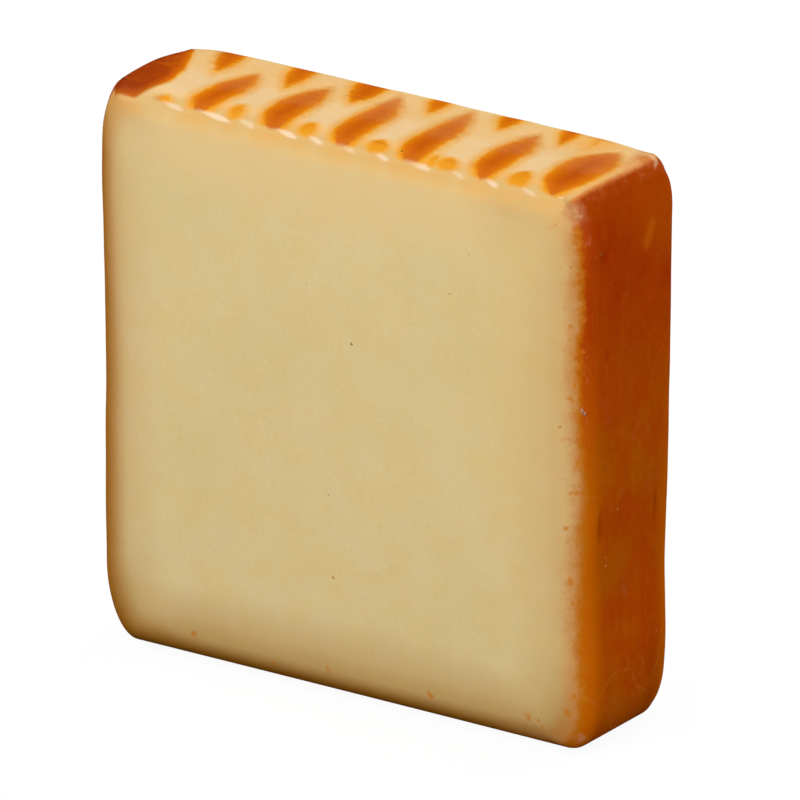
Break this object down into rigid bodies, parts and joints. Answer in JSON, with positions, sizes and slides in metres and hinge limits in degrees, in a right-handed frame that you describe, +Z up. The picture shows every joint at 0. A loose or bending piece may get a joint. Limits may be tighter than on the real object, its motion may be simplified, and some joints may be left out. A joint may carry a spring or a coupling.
{
  "type": "smoked cheese slab",
  "caption": "Square slab cut across a smoked cheese loaf, with soft rounded rims, smooth pale cut faces and a browned rind that carries rack marks on top.",
  "frame": {"origin": "under the middle of the slab, on the surface that it stands on", "axes": "+X across the loaf to the shown rind side, -Y out of the shown cut face, +Z up"},
  "size_m": [0.1004, 0.03, 0.1014],
  "materials": {
    "cheese": "satin, slightly translucent"
  },
  "bodies": {
    "root": {"cheese_slab": "cheese"}
  },
  "joints": []
}
